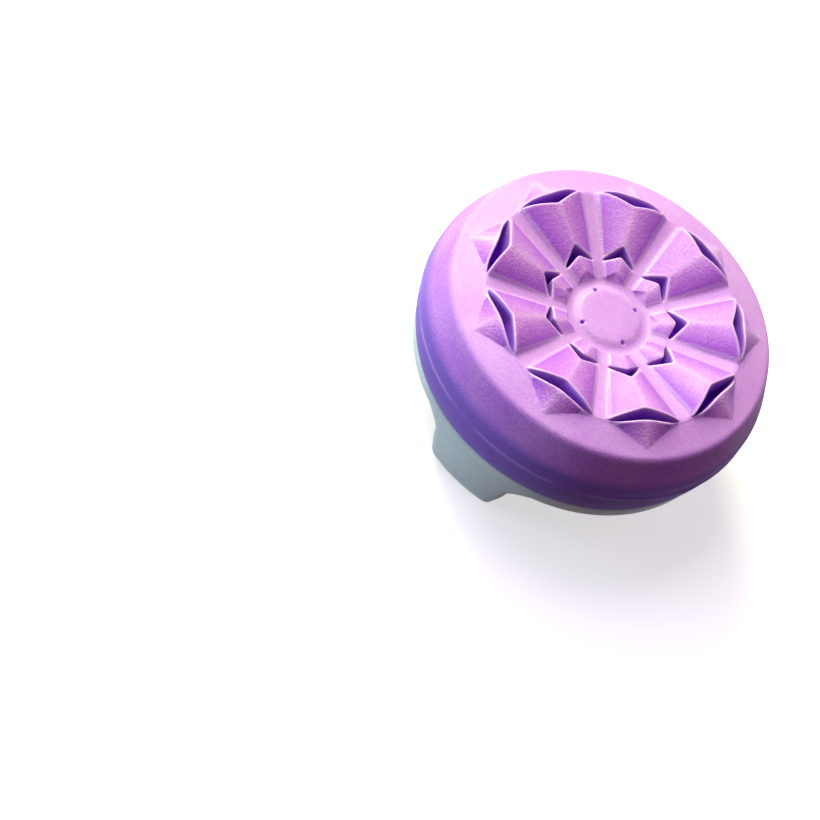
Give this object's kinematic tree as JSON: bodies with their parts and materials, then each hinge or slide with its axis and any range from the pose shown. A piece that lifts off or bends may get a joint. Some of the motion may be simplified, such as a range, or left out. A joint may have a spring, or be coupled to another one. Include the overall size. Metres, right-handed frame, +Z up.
{
  "type": "controller thumb grip",
  "caption": "Round raised grip that clips over a game controller's thumb stick, with a soft dished tread moulded on a rigid clip base.",
  "frame": {"origin": "centre of the circle that the three feet stand on, on the surface the grip rests on", "axes": "+Z up along the thumb stick's axis, out of the tread; -Y through the middle of the first leg"},
  "size_m": [0.0232, 0.0232, 0.0119],
  "materials": {
    "cap_elastomer": "matt orchid-purple elastomer with a fine moulded grain on the facets and a satin rim",
    "base_plastic": "satin cool grey moulded plastic"
  },
  "bodies": {
    "root": {"grip_cap": "cap_elastomer", "clip_base": "base_plastic"}
  },
  "joints": []
}
